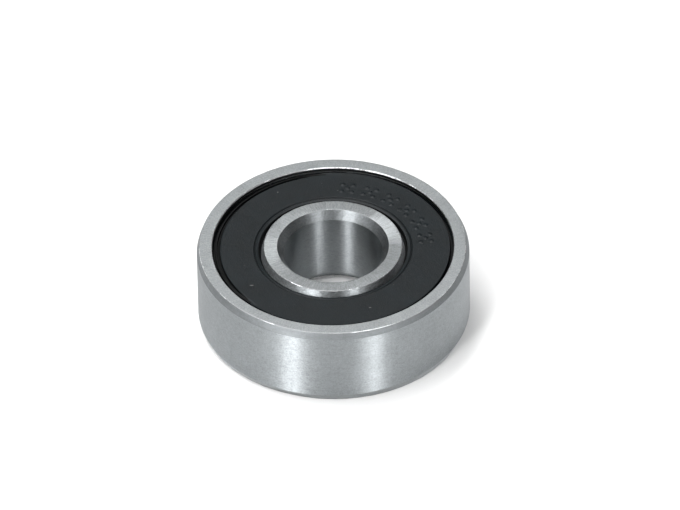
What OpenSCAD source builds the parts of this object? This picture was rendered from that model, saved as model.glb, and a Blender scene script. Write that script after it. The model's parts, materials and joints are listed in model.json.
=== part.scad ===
// Sealed deep-groove ball bearing: two steel rings, seven balls held by a
// riveted two-part ribbon cage, and one rubber contact seal on each side.
// Millimetres. The origin is the centre of the bearing and +Z is the axis
// about which the inner ring spins.

/* [Boundary dimensions] */
// Diameter of the bore in the inner ring
bore_d = 8; // [7:0.1:8.3]
// Outside diameter of the outer ring
outer_d = 22; // [21.2:0.1:25]
// Width of both rings
width = 7; // [6.8:0.1:10]

/* [Chamfers] */
// Radial size of the chamfers on the outside diameter
outer_cham_r = 0.2; // [0.05:0.01:0.35]
// Axial size of the chamfers on the outside diameter
outer_cham_z = 0.55; // [0.1:0.05:1]
// Radial size of the chamfers at the mouths of the bore
bore_cham_r = 0.52; // [0.2:0.01:0.6]
// Axial size of the chamfers at the mouths of the bore
bore_cham_z = 0.68; // [0.2:0.01:1]

/* [Rolling set] */
// Diameter of the balls
ball_d = 3.969; // [3.7:0.001:4.05]
// Diameter of the circle through the ball centres
pitch_d = 15; // [14.9:0.05:15.1]
// Play between a ball and the bottom of each raceway
race_play = 0.01; // [0.005:0.005:0.03]
// Radius of the inner raceway's groove, seen in section
inner_groove_r = 2.06; // [2.04:0.01:2.12]
// Radius of the outer raceway's groove, seen in section
outer_groove_r = 2.1; // [2.04:0.01:2.15]

/* [Ring shoulders] */
// Diameter of the inner ring's shoulders, beside its raceway
inner_shoulder_d = 12.1; // [11.9:0.05:12.4]
// Diameter of the inner ring's lands, on which the seal lips run
inner_land_d = 11.6; // [11.5:0.02:11.7]
// Diameter of the outer ring's shoulders, beside its raceway
outer_shoulder_d = 17.9; // [17.6:0.05:18.1]
// Diameter of the mouths of the outer ring, inside its seal grooves
mouth_d = 19.5; // [19.3:0.05:19.7]
// Diameter of the grooves that hold the seals
seal_groove_d = 20.04; // [19.9:0.02:20.2]

/* [Cage] */
// Thickness of the cage's sheet steel
cage_t = 0.3; // [0.2:0.05:0.35]
// Width of the cage's ribbon, measured along a radius
cage_w = 1.9; // [1.5:0.1:2.2]
// Play between a ball and its pocket
pocket_play = 0.1; // [0.05:0.01:0.12]
// Diameter of the rivet shanks
rivet_d = 0.7; // [0.5:0.05:0.8]
// Diameter of the rivet heads
rivet_head_d = 1.2; // [1:0.05:1.4]

/* [Seals] */
// Depth of a seal's flat face below the faces of the rings
seal_recess = 0.26; // [0.1:0.02:0.3]
// Thickness of the steel core inside a seal
core_t = 0.25; // [0.2:0.05:0.25]
// Gap between a seal's lip and the land that it runs on
lip_gap = 0.03; // [0.02:0.01:0.06]

/* [Hidden] */
BALLS = 7;                              // one node for each ball and rivet
$fn = 144;

step = 360 / BALLS;                     // angle from one ball to the next
hw = width / 2;                         // the ring faces lie at +hw and -hw
ro = outer_d / 2;
ri = bore_d / 2;
rp = pitch_d / 2;
rb = ball_d / 2;
sh_i = inner_shoulder_d / 2;
sh_o = outer_shoulder_d / 2;
land = inner_land_d / 2;
mouth = mouth_d / 2;
groove = seal_groove_d / 2;

// Centres of the raceway grooves' circles, so that their bottoms stand
// race_play away from a ball on the pitch circle.
c_in = rp - rb - race_play + inner_groove_r;
c_out = rp + rb + race_play - outer_groove_r;

z_seat = hw - 0.95;                     // seat of the seal in the outer ring
z_step = hw - 1.15;                     // foot of the inner ring's land
z_face = hw - seal_recess;              // flat face of a seal

pocket_r = rb + pocket_play;
cage_ri = rp - cage_w / 2;
cage_ro = rp + cage_w / 2;

core_ri = sh_i + 0.5;                   // steel core of a seal
core_ro = mouth - 0.43;
core_z = z_seat + 0.07;

// A section drawn for z > 0, completed with its mirror image below z = 0.
// The points run from the inner side of the ring to the outer side.
function both(h) =
    concat(h, [for (i = [len(h) - 1:-1:0]) [h[i][0], -h[i][1]]]);

// Section of the outer ring without its raceway: the shoulder, the seat and
// the groove of the seal, the mouth, the face and the outer chamfer.
function outer_section() = both([
    [sh_o, z_seat - 0.06],
    [sh_o + 0.06, z_seat],
    [groove, z_seat],
    [groove, z_seat + 0.35],
    [mouth, z_seat + 0.35 + (groove - mouth)],
    [mouth, hw - 0.07],
    [mouth + 0.06, hw],
    [ro - outer_cham_r, hw],
    [ro, hw - outer_cham_z]]);

// Section of the inner ring without its raceway, from the bore outwards: the
// bore's chamfer, the face, and a slope down to the land of the seal's lip.
function inner_section() = both([
    [ri, hw - bore_cham_z],
    [ri + bore_cham_r, hw],
    [land - 0.24, hw],
    [land - 0.2, hw - 0.04],
    [land, z_face - 0.44],
    [land, z_step],
    [sh_i - 0.06, z_step],
    [sh_i, z_step - 0.06]]);

// Section of a seal's rubber: bead in the groove, channel, flat face,
// V-groove, ridge, gap and running lip, and the recess for the core.
function rubber_section() = [
    [groove - 0.02, z_seat],
    [groove - 0.02, z_seat + 0.29],
    [mouth - 0.06, z_seat + 0.5],
    [mouth - 0.1, z_seat + 0.36],
    [mouth - 0.25, z_seat + 0.34],
    [mouth - 0.3, z_face - 0.08],
    [mouth - 0.35, z_face],
    [land + 0.6, z_face],
    [land + 0.56, z_face - 0.12],
    [land + 0.5, z_face - 0.12],
    [land + 0.45, z_face - 0.05],
    [land + 0.2, z_face - 0.08],
    [land + 0.16, z_face - 0.42],
    [land + lip_gap, z_face - 0.48],
    [land + lip_gap, z_face - 0.56],
    [land + 0.16, z_face - 0.7],
    [core_ri, z_face - 0.74],
    [core_ri, core_z + core_t],
    [core_ro, core_z + core_t],
    [core_ro, z_seat]];

module outer_ring() {
    color("#b4b8ba")
    difference() {
        rotate_extrude() polygon(outer_section());
        rotate_extrude() translate([c_out, 0]) circle(r = outer_groove_r);
    }
}

module inner_ring() {
    color("#aeb2b4")
    difference() {
        rotate_extrude() polygon(inner_section());
        rotate_extrude() translate([c_in, 0]) circle(r = inner_groove_r);
    }
}

// Ball number i, 1 to BALLS. Ball 1 lies on +X.
module ball(i) {
    color("#d9dcde")
    rotate([0, 0, (i - 1) * step]) translate([rp, 0, 0]) sphere(r = rb);
}

// Upper half of the cage: a flat ribbon pressed up over every ball, with a
// hole for a rivet midway between neighbouring balls.
module cage_half() {
    difference() {
        intersection() {
            union() {
                rotate_extrude() translate([cage_ri, 0]) square([cage_w, cage_t]);
                for (k = [0:BALLS - 1])
                    rotate([0, 0, k * step]) translate([rp, 0, 0])
                        sphere(r = pocket_r + cage_t);
            }
            rotate_extrude() translate([cage_ri, 0])
                square([cage_w, pocket_r + cage_t + 1]);
        }
        for (k = [0:BALLS - 1]) {
            rotate([0, 0, k * step]) translate([rp, 0, 0])
                sphere(r = pocket_r);
            rotate([0, 0, (k + 0.5) * step]) translate([rp, 0, -1])
                cylinder(d = rivet_d, h = cage_t + 2);
        }
    }
}

module cage_upper() {
    color("#9a9ea0") cage_half();
}

module cage_lower() {
    color("#8e9294") mirror([0, 0, 1]) cage_half();
}

// Rivet number i, between ball i and the next one: a shank through both
// halves of the cage with a domed head on each side.
module cage_rivet(i) {
    h = rivet_head_d / 2;
    color("#c3c6c8")
    rotate([0, 0, (i - 0.5) * step]) translate([rp, 0, 0])
    rotate_extrude() polygon(both([
        [0, cage_t + 0.25],
        [h * 0.55, cage_t + 0.22],
        [h * 0.85, cage_t + 0.13],
        [h, cage_t],
        [rivet_d / 2, cage_t]]));
}

module seal_rubber() {
    rotate_extrude() polygon(rubber_section());
}

module seal_core() {
    rotate_extrude() translate([core_ri, core_z])
        square([core_ro - core_ri, core_t]);
}

module seal_upper_rubber() {
    color("#2b2d2e") seal_rubber();
}

module seal_upper_core() {
    color("#7d8183") seal_core();
}

module seal_lower_rubber() {
    color("#2b2d2e") mirror([0, 0, 1]) seal_rubber();
}

module seal_lower_core() {
    color("#7d8183") mirror([0, 0, 1]) seal_core();
}

outer_ring();
inner_ring();
ball(1);  // ball_1
ball(2);  // ball_2
ball(3);  // ball_3
ball(4);  // ball_4
ball(5);  // ball_5
ball(6);  // ball_6
ball(7);  // ball_7
cage_upper();
cage_lower();
cage_rivet(1);  // cage_rivet_1
cage_rivet(2);  // cage_rivet_2
cage_rivet(3);  // cage_rivet_3
cage_rivet(4);  // cage_rivet_4
cage_rivet(5);  // cage_rivet_5
cage_rivet(6);  // cage_rivet_6
cage_rivet(7);  // cage_rivet_7
seal_upper_rubber();
seal_upper_core();
seal_lower_rubber();
seal_lower_core();
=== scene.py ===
# Looks of the sealed ball bearing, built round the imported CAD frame.
import json
import math

import bpy
import numpy as np
from mathutils import Matrix, Vector


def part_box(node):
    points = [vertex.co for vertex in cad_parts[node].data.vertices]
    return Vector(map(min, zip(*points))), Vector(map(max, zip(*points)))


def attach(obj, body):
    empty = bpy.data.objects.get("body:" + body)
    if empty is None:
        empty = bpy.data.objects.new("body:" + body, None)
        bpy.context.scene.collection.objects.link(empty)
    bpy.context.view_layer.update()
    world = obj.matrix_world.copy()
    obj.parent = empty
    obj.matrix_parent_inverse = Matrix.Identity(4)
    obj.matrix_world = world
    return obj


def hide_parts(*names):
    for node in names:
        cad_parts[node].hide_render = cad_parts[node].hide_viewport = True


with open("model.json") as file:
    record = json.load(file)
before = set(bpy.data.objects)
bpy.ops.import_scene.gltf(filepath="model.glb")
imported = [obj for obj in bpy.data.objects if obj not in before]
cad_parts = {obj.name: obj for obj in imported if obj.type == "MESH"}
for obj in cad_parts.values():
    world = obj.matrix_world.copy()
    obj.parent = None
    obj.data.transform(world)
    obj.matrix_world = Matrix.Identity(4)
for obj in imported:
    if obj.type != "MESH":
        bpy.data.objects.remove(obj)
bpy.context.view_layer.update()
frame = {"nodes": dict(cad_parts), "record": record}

MM = 0.001

# ---------------------------------------------------------------- sizes
# Millimetres, read from the frame where it states them.
_lo, _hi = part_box("outer_ring")
RO = _hi[0] / MM                       # outside radius
HW = _hi[2] / MM                       # half width
RI = next(m for m in frame["record"]["mounts"] if m["name"] == "shaft_bore")["dims"]["r_mm"]
_b0, _b1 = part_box("ball_1")
RB = (_b1[2] - _b0[2]) / 2 / MM        # ball radius
RP = (_b1[0] + _b0[0]) / 2 / MM        # pitch radius
GROOVE = 10.02                         # seal groove of the outer ring
MOUTH = 9.75                           # mouth of the outer ring
LAND = 5.80                            # land of the inner ring, at the seal's lip
NECK = 5.60                            # top of the slope above the land
SH_I, SH_O = 6.05, 8.95                # shoulders
Z_SEAT = HW - 0.95
Z_STEP = HW - 1.15
Z_FACE = HW - 0.26
PLAY = 0.01
G_IN, G_OUT = 2.06, 2.10
C_IN = RP - RB - PLAY + G_IN
C_OUT = RP + RB + PLAY - G_OUT
CORE_RI, CORE_RO = SH_I + 0.5, MOUTH - 0.43
CORE_TOP = Z_SEAT + 0.32
rng = np.random.default_rng(11)


# ---------------------------------------------------------------- noise
def ring_noise(theta, waves, seed, falloff=1.0, low=1):
    """Periodic noise round the axis, about -1 to 1, from a sum of waves."""
    g = np.random.default_rng(seed)
    k = np.unique(np.round(np.geomspace(low, waves, 28)).astype(int))
    a = g.normal(size=len(k)) / k ** (falloff / 2)
    p = g.uniform(0, 2 * np.pi, len(k))
    out = sum(ai * np.sin(ki * theta + pi) for ai, ki, pi in zip(a, k, p))
    return out / np.sqrt((a ** 2).sum() / 2) / 2.2


# ---------------------------------------------------------------- lathe
def section(corners, arc=3, mirror=False):
    """Rounds a closed profile. corners: (r, z, fillet, slot, parts[, edge slot]); slot and parts
    belong to the side that leaves the corner. Returns points, normals, slots and sides."""
    pts = np.array([c[:2] for c in corners], float)
    n = len(pts)
    nxt = np.roll(pts, -1, 0)
    area = 0.5 * np.sum(pts[:, 0] * nxt[:, 1] - nxt[:, 0] * pts[:, 1])
    assert area > 0, "the profile must run counter-clockwise"
    P, N, S, E = [], [], [], []
    for i in range(n):
        a, b, c = pts[i - 1], pts[i], pts[(i + 1) % n]
        d1, d2 = b - a, c - b
        l1, l2 = np.linalg.norm(d1), np.linalg.norm(d2)
        d1, d2 = d1 / l1, d2 / l2
        n1, n2 = np.array([d1[1], -d1[0]]), np.array([d2[1], -d2[0]])
        cross = d1[0] * d2[1] - d1[1] * d2[0]
        turn = math.acos(max(-1.0, min(1.0, float(d1 @ d2))))
        slot, parts = corners[i][3], corners[i][4]
        eslot = corners[i][5] if len(corners[i]) > 5 else slot
        if turn > 1e-3:
            f = corners[i][2]
            t = min(f * math.tan(turn / 2), 0.42 * min(l1, l2))
            f = t / math.tan(turn / 2)
            s = 1.0 if cross > 0 else -1.0
            centre = b - s * (n1 + n2) / (1 + n1 @ n2) * f
            steps = max(1, int(math.ceil(arc * turn / (math.pi / 2)))) if f > 0.004 else 1
            a1, a2 = math.atan2(n1[1], n1[0]), math.atan2(n2[1], n2[0])
            da = (a2 - a1 + math.pi) % (2 * math.pi) - math.pi
            for k in range(steps + 1):
                w = a1 + da * k / steps
                nn = np.array([math.cos(w), math.sin(w)])
                P.append(centre + s * f * nn); N.append(nn)
                S.append(eslot if k < steps else slot); E.append((i, k < steps))
            start = b + d2 * t
        else:
            P.append(b); N.append(n2); S.append(slot); E.append((i, False))
            start = b
        # the end of this side is the next corner's first tangent point
        if parts > 1:
            d3 = pts[(i + 2) % n] - c
            l3 = np.linalg.norm(d3)
            turn2 = math.acos(max(-1.0, min(1.0, float(d2 @ d3 / l3))))
            f2 = corners[(i + 1) % n][2]
            t2 = min(f2 * math.tan(turn2 / 2), 0.42 * min(l2, l3)) if turn2 > 1e-3 else 0.0
            stop = c - d2 * t2
            for k in range(1, parts):
                P.append(start + (stop - start) * k / parts); N.append(n2)
                S.append(slot); E.append((i, False))
    return np.array(P), np.array(N), S, E


def arc_points(cr, r0, z_from, z_to, parts, slot, fillet=0.0):
    """Corners along a raceway groove of radius r0 about (cr, 0), from z_from to z_to, bulging
    away from or towards the axis as the sign of r0 says."""
    out = []
    for k in range(1, parts):
        z = z_from + (z_to - z_from) * k / parts
        a = math.asin(z / abs(r0))
        out.append((cr + math.copysign(abs(r0) * math.cos(a), r0), z, 0.05, slot, 1))
    return out


def lathe(name, prof, segs, slots, body, node, displace=None, rows=2, other=None, weight=None,
          thetas=None, reslot=None):
    """Turns a rounded profile into a closed mesh with exact normals and a tidy unrolled map. The other
    profile, point for point like the first, takes over where the weight, a function of theta, is 1.
    reslot(names, slot indices, r, z) may choose other slots from where the faces lie."""
    P, N, S, E = prof
    m = len(P)
    th = np.arange(segs) * 2 * np.pi / segs if thetas is None else thetas
    segs = len(th)
    T, K = np.meshgrid(th, np.arange(m), indexing="ij")         # segs x m
    R, Z = P[K, 0], P[K, 1]
    NR, NZ = N[K, 0], N[K, 1]
    NT = np.zeros_like(NR)
    if other is not None:
        w = weight(T)
        R, Z = R + w * (other[0][K, 0] - R), Z + w * (other[0][K, 1] - Z)
        NR, NZ = NR + w * (other[1][K, 0] - NR), NZ + w * (other[1][K, 1] - NZ)
    if displace is not None:
        D = displace(T, R, Z, K, E)
        gap = (np.roll(th, -1) - np.roll(th, 1)) % (2 * np.pi)
        dth = (np.roll(D, -1, 0) - np.roll(D, 1, 0)) / gap[:, None]
        seg = np.linalg.norm(np.roll(P, -1, 0) - P, axis=1)
        both = seg + np.roll(seg, 1)
        ds = (np.roll(D, -1, 1) - np.roll(D, 1, 1)) / np.maximum(both, 1e-6)[None, :]
        # along the profile the tangent is (-nz, nr)
        R, Z = R + D * NR, Z + D * NZ
        tr, tz = -NZ, NR
        NR, NZ, NT = NR - ds * tr, NZ - ds * tz, -dth / np.maximum(R, 0.1)
    X, Y = R * np.cos(T), R * np.sin(T)
    nx = NR * np.cos(T) - NT * np.sin(T)
    ny = NR * np.sin(T) + NT * np.cos(T)
    norm = np.stack([nx, ny, NZ], -1).reshape(-1, 3)
    norm /= np.linalg.norm(norm, axis=1)[:, None]
    co = np.stack([X, Y, Z], -1).reshape(-1, 3) * MM
    j = np.arange(segs)[:, None]
    k = np.arange(m)[None, :]
    j2, k2 = (j + 1) % segs, (k + 1) % m
    quads = np.stack([j * m + k, j2 * m + k, j2 * m + k2, j * m + k2], -1).reshape(-1, 4)
    me = bpy.data.meshes.new(name)
    me.vertices.add(len(co)); me.vertices.foreach_set("co", co.ravel().astype(np.float32))
    me.loops.add(quads.size); me.loops.foreach_set("vertex_index", quads.ravel().astype(np.int32))
    me.polygons.add(len(quads))
    me.polygons.foreach_set("loop_start", np.arange(0, quads.size, 4, dtype=np.int32))
    me.polygons.foreach_set("loop_total", np.full(len(quads), 4, np.int32))
    names = list(slots)
    idx = np.tile(np.array([names.index(s) for s in S], np.int32), (segs, 1))
    if other is not None:
        idx2 = np.array([names.index(s) for s in other[2]], np.int32)
        idx = np.where(weight(th)[:, None] > 0.5, idx2[None, :], idx)
    if reslot is not None:
        idx = reslot(names, idx, (R + np.roll(R, -1, 1)) / 2, (Z + np.roll(Z, -1, 1)) / 2)
    me.polygons.foreach_set("material_index", idx.ravel().astype(np.int32))
    me.polygons.foreach_set("use_smooth", np.ones(len(quads), bool))
    # unrolled map: theta across, the profile's length up, in a few rows
    seg = np.linalg.norm(np.roll(P, -1, 0) - P, axis=1)
    s0 = np.concatenate([[0], np.cumsum(seg)[:-1]]) / seg.sum()
    s1 = np.cumsum(seg) / seg.sum()
    row = (np.arange(segs) * rows // segs)
    per = segs // rows
    u0 = (np.arange(segs) % per) / per
    u1 = u0 + 1 / per
    pad = 0.004
    uu = lambda u: pad + (1 - 2 * pad) * u
    vv = lambda s, r: (r + pad + (1 - 2 * pad) * s) / rows
    UV = np.zeros((segs, m, 4, 2), np.float32)
    for q, (uq, sq) in enumerate(((u0, s0), (u1, s0), (u1, s1), (u0, s1))):
        UV[:, :, q, 0] = uu(uq)[:, None]
        UV[:, :, q, 1] = vv(sq[None, :], row[:, None])
    me.update(calc_edges=True)
    layer = me.uv_layers.new(name="OFBake")
    layer.uv.foreach_set("vector", UV.ravel())
    for s in slots.values():
        me.materials.append(s)
    me.validate()
    me.normals_split_custom_set_from_vertices(norm.tolist())
    ob = bpy.data.objects.new(name, me)
    bpy.context.scene.collection.objects.link(ob)
    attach(ob, body)
    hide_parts(node)
    return ob


# ---------------------------------------------------------------- material helpers
class Nodes:
    """Small helper that adds shader nodes and links them."""

    def __init__(self, name):
        self.mat = bpy.data.materials.new(name)
        self.mat.use_nodes = True
        self.nt = self.mat.node_tree
        self.bsdf = next(n for n in self.nt.nodes if n.type == "BSDF_PRINCIPLED")
        co = self.nt.nodes.new("ShaderNodeTexCoord").outputs["Object"]
        mm = self.nt.nodes.new("ShaderNodeVectorMath")
        mm.operation = "SCALE"; mm.inputs["Scale"].default_value = 1000.0
        self.nt.links.new(co, mm.inputs[0])
        self.co = mm.outputs[0]                       # millimetres
        sep = self.nt.nodes.new("ShaderNodeSeparateXYZ")
        self.nt.links.new(self.co, sep.inputs[0])
        self.x, self.y, self.z = sep.outputs

    def math(self, op, a, b=None, c=None, clamp=False):
        n = self.nt.nodes.new("ShaderNodeMath")
        n.operation, n.use_clamp = op, clamp
        for k, v in enumerate((a, b, c)):
            if v is None:
                continue
            if isinstance(v, (int, float)):
                n.inputs[k].default_value = v
            else:
                self.nt.links.new(v, n.inputs[k])
        return n.outputs[0]

    def xyz(self, x, y, z):
        n = self.nt.nodes.new("ShaderNodeCombineXYZ")
        for k, v in enumerate((x, y, z)):
            if isinstance(v, (int, float)):
                n.inputs[k].default_value = v
            else:
                self.nt.links.new(v, n.inputs[k])
        return n.outputs[0]

    def noise(self, vec, scale, detail=3.0, rough=0.55, kind="FBM"):
        n = self.nt.nodes.new("ShaderNodeTexNoise")
        n.noise_dimensions = "3D"
        n.inputs["Scale"].default_value = scale
        n.inputs["Detail"].default_value = detail
        n.inputs["Roughness"].default_value = rough
        self.nt.links.new(vec, n.inputs["Vector"])
        return n.outputs["Fac"]

    def ramp(self, fac, lo, hi, to_lo=0.0, to_hi=1.0, smooth=True):
        n = self.nt.nodes.new("ShaderNodeMapRange")
        n.interpolation_type = "SMOOTHSTEP" if smooth else "LINEAR"
        n.clamp = True
        for k, v in zip(("From Min", "From Max", "To Min", "To Max"), (lo, hi, to_lo, to_hi)):
            n.inputs[k].default_value = v
        self.nt.links.new(fac, n.inputs["Value"])
        return n.outputs["Result"]

    def mix(self, fac, a, b):
        n = self.nt.nodes.new("ShaderNodeMix")
        n.data_type = "RGBA"
        ins = [s for s in n.inputs if s.type == "RGBA"]
        f = next(s for s in n.inputs if s.type == "VALUE")
        self.nt.links.new(fac, f) if not isinstance(fac, (int, float)) else setattr(f, "default_value", fac)
        for s, v in zip(ins, (a, b)):
            if isinstance(v, tuple):
                s.default_value = (*v, 1.0)
            else:
                self.nt.links.new(v, s)
        return next(s for s in n.outputs if s.type == "RGBA")

    def bump(self, height, strength, distance, normal=None):
        n = self.nt.nodes.new("ShaderNodeBump")
        n.inputs["Strength"].default_value = strength
        n.inputs["Distance"].default_value = distance
        self.nt.links.new(height, n.inputs["Height"])
        if normal is not None:
            self.nt.links.new(normal, n.inputs["Normal"])
        return n.outputs["Normal"]

    def set(self, **kw):
        for k, v in kw.items():
            s = self.bsdf.inputs[k.replace("_", " ")]
            if isinstance(v, (int, float, tuple)):
                s.default_value = (*v, 1.0) if isinstance(v, tuple) and len(v) == 3 else v
            else:
                self.nt.links.new(v, s)

    def tangent(self):
        n = self.nt.nodes.new("ShaderNodeTangent")
        n.direction_type, n.axis = "RADIAL", "Z"
        self.nt.links.new(n.outputs[0], self.bsdf.inputs["Tangent"])

    def polar(self):
        """Radius in millimetres, and the point's direction from the axis."""
        r = self.math("SQRT", self.math("ADD", self.math("MULTIPLY", self.x, self.x),
                                        self.math("MULTIPLY", self.y, self.y)))
        return r, self.math("DIVIDE", self.x, r), self.math("DIVIDE", self.y, r)

    def at(self, sx, sy, sz, seed):
        """The point in millimetres, scaled along each axis and shifted."""
        return self.xyz(self.math("MULTIPLY", self.x, sx), self.math("MULTIPLY", self.y, sy),
                        self.math("MULTIPLY_ADD", self.z, sz, seed))

    def sum(self, start, *terms):
        """start + the sum of gain * (noise - 0.5)."""
        v = start
        for gain, n in terms:
            t = self.math("MULTIPLY", self.math("SUBTRACT", n, 0.5), gain)
            v = self.math("ADD", t, v)
        return v

    def shade(self, base, factor):
        """A base colour times a factor from 0 to 2."""
        return self.mix(self.math("MULTIPLY", factor, 0.5, clamp=True), (0.0, 0.0, 0.0),
                        tuple(2 * c for c in base))

    def dim(self, factor, mask, amount):
        """The factor, lowered by the amount where the mask is 1."""
        return self.math("MULTIPLY", factor, self.math("MULTIPLY_ADD", mask, -amount, 1.0))


def ground_cylinder(name, base, rough, aniso, seed, line=1.0, dash=1.0, wear=1.0, speck=1.0, ridge=1.0):
    """Steel ground round its axis: fine lines along the circumference over a soft mottle, with faint clouds,
    a few small pits and short upright handling marks."""
    m = Nodes(name)
    lines = m.noise(m.at(0.6, 0.6, 8.0, seed), 1.0, 3.0, 0.62)
    short = m.noise(m.at(3.2, 3.2, 12.0, seed + 2.0), 1.0, 2.0, 0.55)
    mottle = m.noise(m.at(1.0, 1.0, 1.5, seed + 5.0), 3.0, 3.0, 0.6)
    cloud = m.noise(m.at(1.0, 1.0, 0.8, seed + 9.0), 0.8, 3.0, 0.55)
    grain = m.noise(m.at(1.0, 1.0, 1.0, seed + 13.0), 8.5, 2.0, 0.6)
    pits = m.ramp(m.noise(m.at(1.0, 1.0, 1.0, seed + 19.0), 4.6, 1.0, 0.4), 0.76, 0.82)
    marks = m.ramp(m.noise(m.at(4.0, 4.0, 0.9, seed + 23.0), 1.0, 2.0, 0.5), 0.74, 0.80)
    f = m.sum(1.0, (0.22 * line, lines), (0.30 * dash, short), (0.50 * speck, mottle), (0.26, cloud), (0.85 * speck, grain))
    f = m.dim(m.dim(f, pits, 0.22 * wear), marks, 0.16 * wear)
    m.set(Base_Color=m.shade(base, f), Metallic=1.0, Anisotropic=aniso, Anisotropic_Rotation=0.25)
    r = m.sum(rough, (0.04 * line, lines), (0.10 * dash * speck, short), (0.12 * speck, mottle), (0.20 * speck, grain))
    m.set(Roughness=m.math("MULTIPLY_ADD", pits, 0.10 * wear, r))
    nrm = m.bump(grain, 0.35, 0.000004, m.bump(mottle, 0.35, 0.000017))
    nrm = m.bump(short, 0.35, 0.000005 * ridge, nrm)
    m.set(Normal=m.bump(marks, 0.5 * wear, -0.000004, nrm))
    m.tangent()
    return m.mat


def ground_face(name, base, rough, aniso, seed, strokes, gain, painted_sectors=()):
    """Steel face ground flat: short fine strokes that run roughly across the ring, faint patches, and painted light in
    sectors, where the base colour is raised by gains above 1 as painted highlight and lowered by gains below 1 as
    painted shade. Each sector: (theta, half width, gain) in degrees."""
    m = Nodes(name)
    r, cx, cy = m.polar()
    stroke = m.noise(m.xyz(m.math("MULTIPLY", cx, strokes), m.math("MULTIPLY", cy, strokes),
                           m.math("MULTIPLY_ADD", r, 0.9, seed)), 1.0, 3.0, 0.6)
    cross = m.noise(m.xyz(m.math("ADD", m.math("MULTIPLY", cx, 0.6 * strokes), m.math("MULTIPLY", r, 1.6)),
                          m.math("SUBTRACT", m.math("MULTIPLY", cy, 0.6 * strokes), m.math("MULTIPLY", r, 1.6)),
                          seed + 3.0), 1.0, 2.0, 0.5)
    patch = m.noise(m.at(1.0, 1.0, 1.0, seed + 5.0), 0.9, 4.0, 0.6)
    grain = m.noise(m.at(1.0, 1.0, 1.0, seed + 8.0), 8.0, 2.0, 0.6)
    pits = m.ramp(m.noise(m.at(1.0, 1.0, 1.0, seed + 15.0), 4.2, 1.0, 0.4), 0.77, 0.83)
    f = m.sum(1.0, (gain, stroke), (0.7 * gain, cross), (0.22, patch), (0.85, grain))
    f = m.dim(f, pits, 0.25)
    # painted highlight and painted shade: each sector scales the base colour by its gain
    for theta, half, g in painted_sectors:
        a = math.radians(theta)
        d = m.math("ADD", m.math("MULTIPLY", cx, math.cos(a)), m.math("MULTIPLY", cy, math.sin(a)))
        # the strokes fray the fan's edges
        d = m.sum(d, (0.10, stroke))
        w = m.ramp(d, math.cos(math.radians(half)), 1.0)
        f = m.math("MULTIPLY", f, m.math("MULTIPLY_ADD", w, g - 1.0, 1.0))
    m.set(Base_Color=m.shade(base, f), Metallic=1.0, Anisotropic=aniso, Anisotropic_Rotation=0.0)
    m.set(Roughness=m.sum(rough, (0.12, stroke), (0.10, patch), (0.08, grain)))
    nrm = m.bump(stroke, 0.5, 0.000004 + 0.00002 * gain)
    m.set(Normal=m.bump(cross, 0.4, 0.000004 + 0.000018 * gain, nrm))
    m.tangent()
    return m.mat


def turned(name, base, rough, aniso, seed, rotation=0.25, painted_sectors=(), coarse=1.0):
    """Turned steel that was hardened but not ground: fine rings, mottled and a little darker."""
    m = Nodes(name)
    r, cx, cy = m.polar()
    rings = m.noise(m.xyz(m.math("MULTIPLY", m.x, 0.15), m.math("MULTIPLY", m.y, 0.15),
                          m.math("MULTIPLY_ADD", m.math("ADD", m.z, r), 11.0, seed)), 1.5, 3.0, 0.6)
    cloud = m.noise(m.at(1.0, 1.0, 1.0, seed + 2.0), 2.0, 3.0, 0.6)
    mottle = m.noise(m.at(1.0, 1.0, 1.4, seed + 6.0), 6.0, 3.0, 0.6)
    f = m.sum(1.0, (0.45, rings), (0.40, cloud), (0.55 * coarse, mottle))
    # painted light: each sector scales the base colour by its gain
    for theta, half, g in painted_sectors:
        a = math.radians(theta)
        d = m.math("ADD", m.math("MULTIPLY", cx, math.cos(a)), m.math("MULTIPLY", cy, math.sin(a)))
        f = m.math("MULTIPLY", f, m.math("MULTIPLY_ADD", m.ramp(d, math.cos(math.radians(half)), 1.0), g - 1.0, 1.0))
    m.set(Base_Color=m.shade(base, f), Metallic=1.0, Anisotropic=aniso, Anisotropic_Rotation=rotation)
    m.set(Roughness=m.sum(rough, (0.14, cloud), (0.14, mottle)))
    m.set(Normal=m.bump(rings, 0.3, 0.000008, m.bump(mottle, 0.5, 0.000025 * coarse)))
    m.tangent()
    return m.mat


def broken_edge(name, base, rough, seed, beads):
    """The narrow worn break between two ground surfaces, which glints in beads and dashes."""
    m = Nodes(name)
    r, cx, cy = m.polar()
    bead = m.noise(m.xyz(m.math("MULTIPLY", cx, beads), m.math("MULTIPLY", cy, beads), seed), 1.0, 2.0, 0.5)
    fine = m.noise(m.at(1.0, 1.0, 1.0, seed + 2.0), 6.0, 3.0, 0.6)
    slow = m.noise(m.at(1.0, 1.0, 1.0, seed + 4.0), 0.35, 2.0, 0.5)
    on = m.ramp(m.sum(bead, (1.1, slow), (0.6, fine)), 0.50, 0.66)
    m.set(Base_Color=m.shade(base, m.sum(m.math("MULTIPLY_ADD", on, 0.75, 0.62), (0.4, fine))), Metallic=1.0)
    m.set(Roughness=m.sum(m.math("MULTIPLY_ADD", on, -0.24, rough + 0.22), (0.15, fine)))
    chips = m.noise(m.at(1.0, 1.0, 1.0, seed + 8.0), 4.2, 3.0, 0.65)
    m.set(Normal=m.bump(chips, 0.8, 0.00009, m.bump(fine, 0.6, 0.00003)))
    return m.mat


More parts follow.
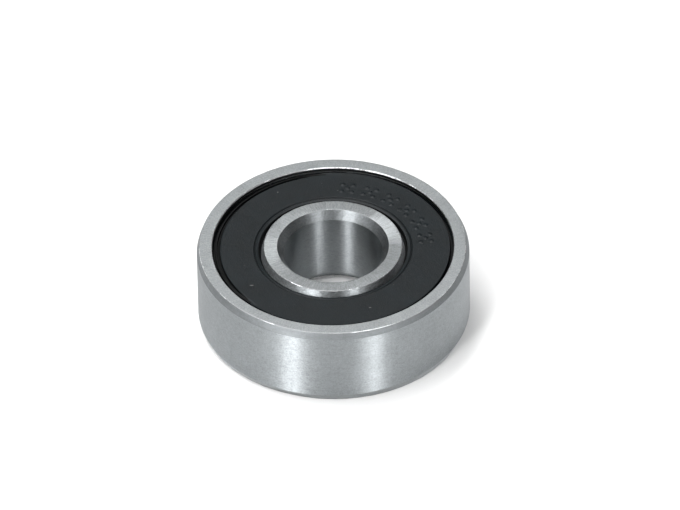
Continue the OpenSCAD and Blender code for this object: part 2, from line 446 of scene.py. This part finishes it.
def polished(name, base, rough, seed):
    """Honed raceways and lapped balls: nearly a mirror, with hairline marks."""
    m = Nodes(name)
    hair = m.noise(m.at(0.3, 0.3, 9.0, seed), 2.0, 2.0, 0.6)
    film = m.noise(m.at(1.0, 1.0, 1.0, seed + 2.0), 0.7, 3.0, 0.5)
    scuff = m.ramp(m.noise(m.at(2.5, 0.7, 2.5, seed + 6.0), 1.5, 3.0, 0.6), 0.62, 0.72)
    m.set(Base_Color=m.shade(base, m.sum(1.0, (0.16, film))), Metallic=1.0)
    m.set(Roughness=m.math("MULTIPLY_ADD", scuff, 0.05, m.math("MULTIPLY_ADD", film, 0.08, rough)))
    m.set(Normal=m.bump(hair, 0.12, 0.000004))
    return m.mat


def sheet_steel(name, base, rough, seed):
    """Cold-rolled and tumbled sheet: satin, with small dimples and scuffs."""
    m = Nodes(name)
    grain = m.noise(m.at(1.0, 1.0, 1.0, seed), 11.0, 3.0, 0.65)
    scuff = m.noise(m.at(0.4, 3.0, 1.0, seed + 3.0), 1.6, 4.0, 0.6)
    m.set(Base_Color=m.shade(base, m.sum(1.0, (0.25, grain), (0.25, scuff))), Metallic=1.0)
    m.set(Roughness=m.math("MULTIPLY_ADD", scuff, 0.25, rough))
    m.set(Normal=m.bump(grain, 0.35, 0.00002))
    return m.mat


def rubber(name, base, rough, seed, spec=0.32, flecks=()):
    """Moulded nitrile rubber: satin black with a fine sparked texture, faint bloom, and a few specks of dust.
    flecks: (x, y, half length, half width) in millimetres."""
    m = Nodes(name)
    pores = m.noise(m.at(1.0, 1.0, 1.0, seed), 9.0, 3.0, 0.65)
    bloom = m.noise(m.at(1.0, 1.0, 1.0, seed + 4.0), 0.5, 4.0, 0.6)
    mid = m.noise(m.at(1.0, 1.0, 1.0, seed + 9.0), 3.0, 3.0, 0.6)
    dust = m.ramp(m.noise(m.at(1.0, 1.0, 1.0, seed + 21.0), 5.5, 1.0, 0.3), 0.80, 0.86)
    for fx, fy, fl_, fw in flecks:
        u = m.math("MULTIPLY", m.math("SUBTRACT", m.x, fx), 1.0 / fl_)
        v = m.math("MULTIPLY", m.math("SUBTRACT", m.y, fy), 1.0 / fw)
        d = m.sum(m.math("ADD", m.math("MULTIPLY", u, u), m.math("MULTIPLY", v, v)), (1.2, mid))
        dust = m.math("MAXIMUM", dust, m.ramp(d, 1.0, 0.3))
    f = m.sum(1.0, (1.2, bloom), (0.8, mid), (1.6, pores))
    m.set(Base_Color=m.mix(dust, m.shade(base, f), (0.10, 0.102, 0.102)))
    m.set(Roughness=m.math("MULTIPLY_ADD", dust, 0.25, m.sum(rough, (0.16, mid), (0.20, pores), (0.10, bloom))))
    m.set(Metallic=0.0, IOR=1.5, Specular_IOR_Level=spec)
    m.set(Normal=m.bump(pores, 0.5, 0.00004, m.bump(mid, 0.3, 0.00006)))
    return m.mat


STEEL = (0.422, 0.445, 0.453)          # ground faces
ROUND = (0.419, 0.445, 0.459)          # cylinders, a little cooler
MATS = {
    "od": ground_cylinder("steel_ground_od", tuple(0.90 * c for c in ROUND), 0.395, 1.0, 3.0),
    "bore": ground_cylinder("steel_ground_bore", tuple(0.70 * c for c in ROUND), 0.41, 1.0, 31.0, 0.6,
                            1.6, 0.1, 0.4, 7.0),
    "land": ground_cylinder("steel_land", tuple(0.95 * c for c in ROUND), 0.49, 0.93, 47.0, 1.0, 3.4),
    # the steel wall above the seal is coloured near black: painted shade and painted reflection of the black rubber
    # below it
    "mouth": turned("steel_mouth_soiled", (0.045, 0.047, 0.048), 0.5, 0.5, 51.0),
    "face": ground_face("steel_ground_face", tuple(0.71 * c for c in STEEL), 0.40, 0.0, 5.0, 84.0, 0.30),
    # the inner face's base colour is raised at 27 and 186 degrees as painted highlight and lowered at 342 degrees as
    # painted shade, so these turn with the ring
    "iface": ground_face("steel_ground_inner_face", tuple(0.65 * c for c in STEEL), 0.40, 0.12, 55.0, 60.0, 0.74,
                         ((27.0, 31.0, 1.75), (186.0, 22.0, 1.28), (342.0, 50.0, 0.74))),
    "chamfer": turned("steel_turned_chamfer", tuple(0.62 * c for c in ROUND), 0.58, 0.68, 13.0),
    # the lower chamfer is a lighter, smoother copy of the chamfer steel: its raised base colour is a painted
    # reflection of the white floor beside it, and the sector at 270 degrees, at the front, darkens it as painted shade
    # of the ring's own shadow there
    "chamfer_low": turned("steel_turned_chamfer_low", tuple(1.5 * c for c in STEEL), 0.36, 0.5, 14.0,
                          painted_sectors=((270.0, 70.0, 0.45),)),
    "bore_chamfer": turned("steel_turned_bore_chamfer", tuple(0.56 * c for c in ROUND), 0.47, 0.96, 17.0,
                           coarse=1.7),
    "edge": broken_edge("steel_broken_edge", (0.50, 0.51, 0.52), 0.34, 23.0, 9.0),
    "race": polished("steel_honed_raceway", (0.62, 0.63, 0.64), 0.14, 2.0),
    "inside": turned("steel_turned_inside", tuple(0.8 * c for c in STEEL), 0.5, 0.5, 29.0),
    "rubber": rubber("rubber_moulded", (0.0018, 0.0041, 0.0054), 0.50, 1.0, 0.245,
                     ((-6.59, -4.42, 0.19, 0.07), (5.80, 1.48, 0.09, 0.10), (5.72, 0.6, 0.07, 0.06),
                      (2.9, -7.4, 0.10, 0.05), (-4.4, 7.1, 0.06, 0.08))),
    # a darker, less shiny copy of the moulded rubber for the channel and the grooves: painted shade in the recesses
    "channel": rubber("rubber_moulded_deep", (0.0012, 0.0016, 0.0018), 0.55, 33.0, 0.14),
    "core": sheet_steel("steel_core_sheet", (0.30, 0.31, 0.32), 0.35, 6.0),
    "cage": sheet_steel("steel_cage_sheet", (0.42, 0.43, 0.44), 0.25, 12.0),
    "rivet": sheet_steel("steel_rivet_wire", (0.5, 0.51, 0.52), 0.2, 18.0),
    "ball": polished("steel_lapped_ball", (0.68, 0.69, 0.70), 0.05, 8.0),
}


def pick(*names):
    return {n: MATS[n] for n in names}


# ---------------------------------------------------------------- outer ring
def mirrored(h):
    """A half section for z > 0, listed from the inner side over the face to the outer side, made whole
    and turned to run counter-clockwise. Each entry's slot belongs to the side that leads on to the next."""
    full = [list(c) for c in h]
    low = []
    for i in range(len(h) - 1, -1, -1):
        c = list(h[i]); c[1] = -c[1]
        # the side that leaves a mirrored corner is the one that arrives at the upper corner
        if i > 0:
            c[3], c[4] = h[i - 1][3], h[i - 1][4]
        low.append(c)
    return full, low


def whole(h, close_slot, close_parts, mid):
    """h: half section from inside to outside (clockwise). mid: corners of the closing inner side, from the
    lower half's last point up to the upper half's first, such as a raceway. Returns counter-clockwise."""
    up, low = mirrored(h)
    low[-1][3], low[-1][4] = close_slot, close_parts
    clockwise = up + low + [list(c) for c in mid]
    # reverse: a corner's leaving side becomes the previous one's
    n = len(clockwise)
    out = []
    for i in range(n - 1, -1, -1):
        c = list(clockwise[i])
        p = clockwise[(i - 1) % n]
        c[3], c[4] = p[3], p[4]
        out.append(tuple(c))
    return out


CH_Z = 0.55
zs = math.sqrt(G_OUT ** 2 - (SH_O - C_OUT) ** 2)


def outer_half(ch_r):
    """Half section of the outer ring, with the radial size of its chamfer."""
    return [
        (SH_O, zs, 0.05, "inside", 1, "inside"),
        (SH_O, Z_SEAT - 0.06, 0.02, "inside", 1, "inside"),
        (SH_O + 0.06, Z_SEAT, 0.02, "inside", 1, "inside"),
        (GROOVE, Z_SEAT, 0.03, "inside", 1, "inside"),
        (GROOVE, Z_SEAT + 0.35, 0.03, "inside", 1, "inside"),
        # this side, the wall above the seal, takes the near-black steel that is painted shade
        (MOUTH, Z_SEAT + 0.35 + GROOVE - MOUTH, 0.02, "mouth", 1, "inside"),
        (MOUTH, HW - 0.07, 0.03, "edge", 1, "edge"),
        (MOUTH + 0.06, HW, 0.02, "face", 8, "edge"),
        (RO - ch_r, HW, 0.05, "chamfer", 4, "edge"),
        (RO, HW - CH_Z, 0.08, "od", 14, "chamfer"),
    ]


race_o = arc_points(C_OUT, G_OUT, -zs, zs, 14, "race")
outer_prof = section(whole(outer_half(0.155), "race", 1, race_o))
outer_wide = section(whole(outer_half(0.30), "race", 1, race_o))
assert len(outer_prof[0]) == len(outer_wide[0])
# faces of the chamfer below the middle take the lighter copy with painted reflection and painted shade
for prof in (outer_prof, outer_wide):
    for k, (p, slot_name) in enumerate(zip(prof[0], prof[2])):
        if slot_name == "chamfer" and p[1] < 0:
            prof[2][k] = "chamfer_low"


def chamfer_wide(T):
    """How wide the chamfer is round the ring: the face was ground a little out of true."""
    t = (0, 10, 25, 40, 90, 150, 180, 195, 210, 225, 240, 255, 262, 270, 285, 300, 310, 320, 330, 340, 350, 360)
    w = (.95, .95, .5, .2, .1, .2, .25, .4, .6, .8, .9, .8, .5, .35, .1, 0, 0, .25, .5, .75, .85, .95)
    return np.interp(np.degrees(T) % 360, t, w)


def outer_nicks(T, R, Z, K, E):
    """Tiny dents and waves along the edges of the outer ring."""
    side = np.array([e[1] for e in E])[K]
    top = (np.abs(Z) > HW - 0.12) & (R > RO - 0.40)
    w = ring_noise(T[:, 0], 900, 5, 0.3, 60)[:, None] * 0.004 + ring_noise(T[:, 0], 260, 9, 0.4, 30)[:, None] * 0.002
    g = np.random.default_rng(77)
    dents = np.zeros(len(T))
    for a, d, s in zip(g.uniform(0, 2 * np.pi, 34), g.uniform(0.003, 0.012, 34), g.uniform(0.004, 0.014, 34)):
        x = (T[:, 0] - a + np.pi) % (2 * np.pi) - np.pi
        dents += d * np.exp(-(x / s) ** 2)
    return np.where(top & side, np.minimum(w - 0.004, 0.0) - dents[:, None], 0.0)


SEGS = 768
outer = lathe("outer_ring_body", outer_prof, SEGS, pick("od", "face", "chamfer", "chamfer_low", "edge", "mouth", "race", "inside"),
              "outer_ring", "outer_ring", outer_nicks, rows=2, other=outer_wide, weight=chamfer_wide)

# ---------------------------------------------------------------- inner ring
BC_R, BC_Z = 0.52, 0.68
zi = math.sqrt(G_IN ** 2 - (C_IN - SH_I) ** 2)
inner_half = [
    (RI, HW - BC_Z, 0.10, "bore_chamfer", 4, "bore_chamfer"),
    (RI + BC_R, HW, 0.03, "iface", 8, "edge"),
    (NECK - 0.04, HW, 0.012, "edge", 1, "edge"),
    (NECK, HW - 0.05, 0.02, "land", 6, "edge"),
    (LAND, Z_FACE - 0.44, 0.10, "land", 1, "land"),
    (LAND, Z_STEP, 0.03, "inside", 1, "inside"),
    (SH_I - 0.06, Z_STEP, 0.02, "inside", 1, "inside"),
    (SH_I, Z_STEP - 0.06, 0.02, "inside", 1, "inside"),
    (SH_I, zi, 0.05, "race", 1, "race"),
]


def whole_inner(h, mid):
    """As whole(), for a half section that runs from the bore outwards with the raceway outside."""
    up, low = mirrored(h)
    up[-1][3], up[-1][4] = "race", 1
    clockwise = up + [list(c) for c in mid] + low
    clockwise[-1][3], clockwise[-1][4] = "bore", 10
    n = len(clockwise)
    out = []
    for i in range(n - 1, -1, -1):
        c = list(clockwise[i])
        p = clockwise[(i - 1) % n]
        c[3], c[4] = p[3], p[4]
        out.append(tuple(c))
    return out


race_i = arc_points(C_IN, -G_IN, zi, -zi, 14, "race")
inner_prof = section(whole_inner(inner_half, race_i))


def inner_nicks(T, R, Z, K, E):
    side = np.array([e[1] for e in E])[K]
    top = (np.abs(Z) > HW - 0.2) & (((R > NECK - 0.1) & (R < NECK + 0.03)) | (R < RI + BC_R + 0.08))
    w = ring_noise(T[:, 0], 500, 15, 0.3, 40)[:, None] * 0.004 + ring_noise(T[:, 0], 120, 19, 0.6, 8)[:, None] * 0.004
    return np.where(top & side, np.minimum(w - 0.004, 0.0), 0.0)


inner = lathe("inner_ring_body", inner_prof, 576, pick("bore", "bore_chamfer", "iface", "edge", "land", "race", "inside"),
              "inner_ring", "inner_ring", inner_nicks, rows=1)

# ---------------------------------------------------------------- seals
def seal_corners(ribbed):
    """Section of the upper seal's rubber, from the bead round the face to the lips. Where the moulding is
    ribbed, a thin rib stands in the outer channel and a second groove runs inside it. The channel slot, a darker copy
    of the rubber, is painted shade in the channel, the V-groove and the gap inside the lip."""
    m, l = MOUTH, LAND
    f, s = Z_FACE, Z_SEAT
    R_, C_ = "rubber", "channel"
    if ribbed:
        channel = [(m - 0.11, s + 0.38), (m - 0.22, s + 0.38), (m - 0.265, s + 0.60), (m - 0.35, s + 0.60),
                   (m - 0.385, s + 0.40), (m - 0.50, s + 0.38), (m - 0.595, s + 0.42), (m - 0.63, f - 0.03),
                   (m - 0.67, f)]
    else:
        channel = [(m - 0.09, s + 0.36), (m - 0.25, s + 0.34), (m - 0.285, f - 0.08), (m - 0.32, f),
                   (m - 0.38, f - 0.002), (m - 0.45, f), (m - 0.52, f - 0.002), (m - 0.59, f),
                   (m - 0.67, f - 0.002)]
    # points below the face take the darker channel rubber as painted shade in the channel's depth
    sharp = [(r, z, 0.0039, C_ if z < f - 0.01 else R_, 1) for r, z in channel]
    sharp[-1] = (*sharp[-1][:4], 52)
    return [
        (GROOVE - 0.02, s, 0.04, R_, 1),
        (GROOVE - 0.02, s + 0.29, 0.05, R_, 1),
        (m - 0.06, s + 0.50, 0.0039, C_, 1),
        *sharp,
        (l + 0.62, f, 0.06, R_, 1),
        # the V-groove bottom and the gap inside the lip take the darker channel rubber as painted shade
        (l + 0.56, f - 0.075, 0.02, C_, 1),
        (l + 0.51, f - 0.08, 0.02, R_, 1),
        (l + 0.44, f - 0.03, 0.05, R_, 3),
        (l + 0.20, f - 0.08, 0.05, C_, 2),
        (l + 0.16, f - 0.42, 0.03, C_, 2),
        (l + 0.03, f - 0.48, 0.02, R_, 1),
        (l + 0.03, f - 0.56, 0.02, R_, 1),
        (l + 0.16, f - 0.70, 0.03, R_, 1),
        (CORE_RI, f - 0.74, 0.02, R_, 1),
        (CORE_RI, CORE_TOP, 0.01, R_, 1),
        (CORE_RO, CORE_TOP, 0.01, R_, 1),
        (CORE_RO, s, 0.02, R_, 1),
    ]


def ccw(corners):
    pts = np.array([c[:2] for c in corners])
    nxt = np.roll(pts, -1, 0)
    if 0.5 * np.sum(pts[:, 0] * nxt[:, 1] - nxt[:, 0] * pts[:, 1]) > 0:
        return corners
    n = len(corners)
    out = []
    for i in range(n - 1, -1, -1):
        c, p = list(corners[i]), corners[(i - 1) % n]
        c[3], c[4] = p[3], p[4]
        out.append(tuple(c))
    return out


def flipped(corners):
    """The lower seal's section: the upper one's mirror image."""
    return [(c[0], -c[1], *c[2:]) for c in corners]


def seal_relief(sign, seed):
    def relief(T, R, Z, K, E):
        on = (np.abs(np.abs(Z) - Z_FACE) < 0.003)
        # slow waves of a thin moulding over its stamped core
        d = 0.006 * np.sin(3 * T + seed) * np.clip((R - 6.6) / 2.3, 0, 1)
        g = ring_noise(T[:, 0], 60, 40 + seed, 0.8, 3)[:, None]
        d = d + 0.003 * g * np.clip((R - 6.6) / 1.0, 0, 1)
        # six groups of five small raised pads, four round one, moulded as grip marks
        for q in range(6):
            c0 = math.radians(8.0 + 14.5 * q)
            for dt, dr in ((0, 0), (-0.42, -0.42), (-0.42, 0.42), (0.42, -0.42), (0.42, 0.42)):
                x = (((T - c0 + np.pi) % (2 * np.pi) - np.pi) * R - dt) / 0.15
                y = (R - (7.56 + dr)) / 0.13
                d = d + 0.055 / (1 + np.exp((np.sqrt(x * x + y * y) - 1) / 0.16)) * on
        return np.where(on, d, 0.0)
    return relief


def ribbed_side(T):
    """1 where the moulding's outer channel is plain and wide, 0 along the ribbed arc."""
    t = np.degrees(T) % 360
    up = np.clip((t - 205) / 26, 0, 1)
    down = np.clip((112 - t) / 26, 0, 1)
    w = np.maximum(up, down)
    return w * w * (3 - 2 * w)


def by_depth(names, idx, R, Z):
    """In the outer channel, the slot follows the depth below the seal's face; the deep part takes the darker channel
    rubber, painted shade.
    """
    here = (R > MOUTH - 0.68) & (R < MOUTH + 0.01) & (np.abs(Z) > Z_SEAT + 0.3)
    deep = np.abs(Z) < Z_FACE - 0.05
    return np.where(here, np.where(deep, names.index("channel"), names.index("rubber")), idx)


# finer steps round the axis where the marks are
seal_th = np.radians(np.concatenate([np.linspace(0, 90, 330, endpoint=False),
                                     np.linspace(90, 360, 450, endpoint=False)]))
plain, ribbed = seal_corners(False), seal_corners(True)
seal_u = lathe("seal_upper_moulding", section(ccw(ribbed)), SEGS, pick("rubber", "channel"), "outer_ring",
               "seal_upper_rubber", seal_relief(1, 1), rows=2,
               other=section(ccw(plain)), weight=ribbed_side, thetas=seal_th, reslot=by_depth)
seal_l = lathe("seal_lower_moulding", section(ccw(flipped(ribbed))), SEGS, pick("rubber", "channel"), "outer_ring",
               "seal_lower_rubber", seal_relief(-1, 2), rows=2,
               other=section(ccw(flipped(plain))), weight=ribbed_side, thetas=seal_th,
               reslot=by_depth)

# ---------------------------------------------------------------- carried-over nodes
def dress(node, mat):
    ob = frame["nodes"][node]
    if not ob.material_slots:
        ob.data.materials.append(mat)
    for s in ob.material_slots:
        s.material = mat
    return ob


for i in range(1, 8):
    dress("ball_%d" % i, MATS["ball"])
    dress("cage_rivet_%d" % i, MATS["rivet"])
for n in ("cage_upper", "cage_lower"):
    dress(n, MATS["cage"])
for n in ("seal_upper_core", "seal_lower_core"):
    dress(n, MATS["core"])

# ---------------------------------------------------------------- stage
fl = bpy.data.meshes.new("floor")
s = 1.5
fl.from_pydata([(-s, -s, 0), (s, -s, 0), (s, s, 0), (-s, s, 0)], [], [(0, 1, 2, 3)])
floor = bpy.data.objects.new("floor", fl)
floor.location = (0, 0, -HW * MM)
bpy.context.scene.collection.objects.link(floor)
fm = bpy.data.materials.new("floor_white")
fm.use_nodes = True
fb = next(n for n in fm.node_tree.nodes if n.type == "BSDF_PRINCIPLED")
fb.inputs["Base Color"].default_value = (0.73, 0.73, 0.73, 1)
fb.inputs["Roughness"].default_value = 0.9
fb.inputs["Specular IOR Level"].default_value = 0.1
fl.materials.append(fm)

# world: a dim room, a little lighter overhead
world = bpy.data.worlds.new("studio")
bpy.context.scene.world = world
world.use_nodes = True
wt = world.node_tree
bg = next(n for n in wt.nodes if n.type == "BACKGROUND")
tc = wt.nodes.new("ShaderNodeTexCoord")
sp = wt.nodes.new("ShaderNodeSeparateXYZ")
wt.links.new(tc.outputs["Generated"], sp.inputs[0])
mr = wt.nodes.new("ShaderNodeMapRange")
mr.interpolation_type = "SMOOTHSTEP"
mr.inputs["From Min"].default_value = 0.0
mr.inputs["From Max"].default_value = 0.9
mr.inputs["To Min"].default_value = 0.004
mr.inputs["To Max"].default_value = 0.01
wt.links.new(sp.outputs["Z"], mr.inputs["Value"])
wt.links.new(mr.outputs["Result"], bg.inputs["Strength"])
bg.inputs["Color"].default_value = (1, 1, 1, 1)


def softbox(name, az, el, wide, high, radiance, dist=0.5):
    """A rectangular soft light. az is measured from the camera's side towards the right; az, el, wide and
    high are angles in degrees as seen from the object."""
    data = bpy.data.lights.new(name, "AREA")
    w, h = (2 * dist * math.tan(math.radians(v) / 2) for v in (wide, high))
    data.shape, data.size, data.size_y = "RECTANGLE", w, h
    data.energy = 4.0 * w * h * radiance
    ob = bpy.data.objects.new(name, data)
    a, e = math.radians(az), math.radians(el)
    pos = Vector((math.sin(a) * math.cos(e), -math.cos(a) * math.cos(e), math.sin(e))) * dist
    ob.location = pos
    ob.rotation_mode = "QUATERNION"
    ob.rotation_quaternion = pos.to_track_quat("Z", "Y")
    bpy.context.scene.collection.objects.link(ob)
    return ob


softbox("strip_left_low", -32.2, 18, 9.5, 20, 3.9)
softbox("strip_left_high", -35.8, 40, 9.5, 22, 20.0)
softbox("strip_right_low", 29.6, 18, 9.5, 20, 4.9)
softbox("strip_right_high", 32.8, 40, 9.5, 22, 13.5)
softbox("front_left", -44, 62, 22, 20, 0.9)
softbox("front_right", 40, 62, 22, 20, 1.6)
softbox("panel_key", -112, 77, 50, 12, 8.2, 1.1)
softbox("panel_low", -112, 68, 50, 18, 3.2, 1.1)
softbox("panel_back", -165, 60, 30, 16, 3.5, 1.1)
softbox("panel_over", 180, 68, 60, 26, 0.8, 1.1)
softbox("side_right", 150, 42, 24, 20, 0.62, 1.1)
softbox("rim_right", 60, 24, 24, 18, 0.5, 1.1)
softbox("rim_left", 122, 24, 24, 18, 0.5, 1.1)

# ---------------------------------------------------------------- camera
F_PX, DIST, ELEV, CX, CY, ROLL = 12000.0, 970.0, 40.57, 333.16, 278.5, -0.99
cam = bpy.data.cameras.new("camera")
cam.sensor_fit, cam.sensor_width = "HORIZONTAL", 36.0
cam.lens = F_PX / 680.0 * 36.0
cam.clip_start, cam.clip_end = 0.05, 10.0
cam_ob = bpy.data.objects.new("camera", cam)
bpy.context.scene.collection.objects.link(cam_ob)
e = math.radians(ELEV)
right = Vector((1, 0, 0)); up = Vector((0, math.sin(e), math.cos(e))); back = Vector((0, -math.cos(e), math.sin(e)))
x0 = (CX - 340.0) / F_PX * DIST
y0 = -(CY - 255.0) / F_PX * DIST
pos = (back * DIST - right * x0 - up * y0) * MM
basis = Matrix((right, up, back)).transposed().to_4x4()
cam_ob.matrix_world = Matrix.Translation(pos) @ basis @ Matrix.Rotation(math.radians(ROLL), 4, "Z")
bpy.context.scene.camera = cam_ob
bpy.context.scene.view_settings.view_transform = "Standard"
bpy.context.scene.view_settings.look = "None"
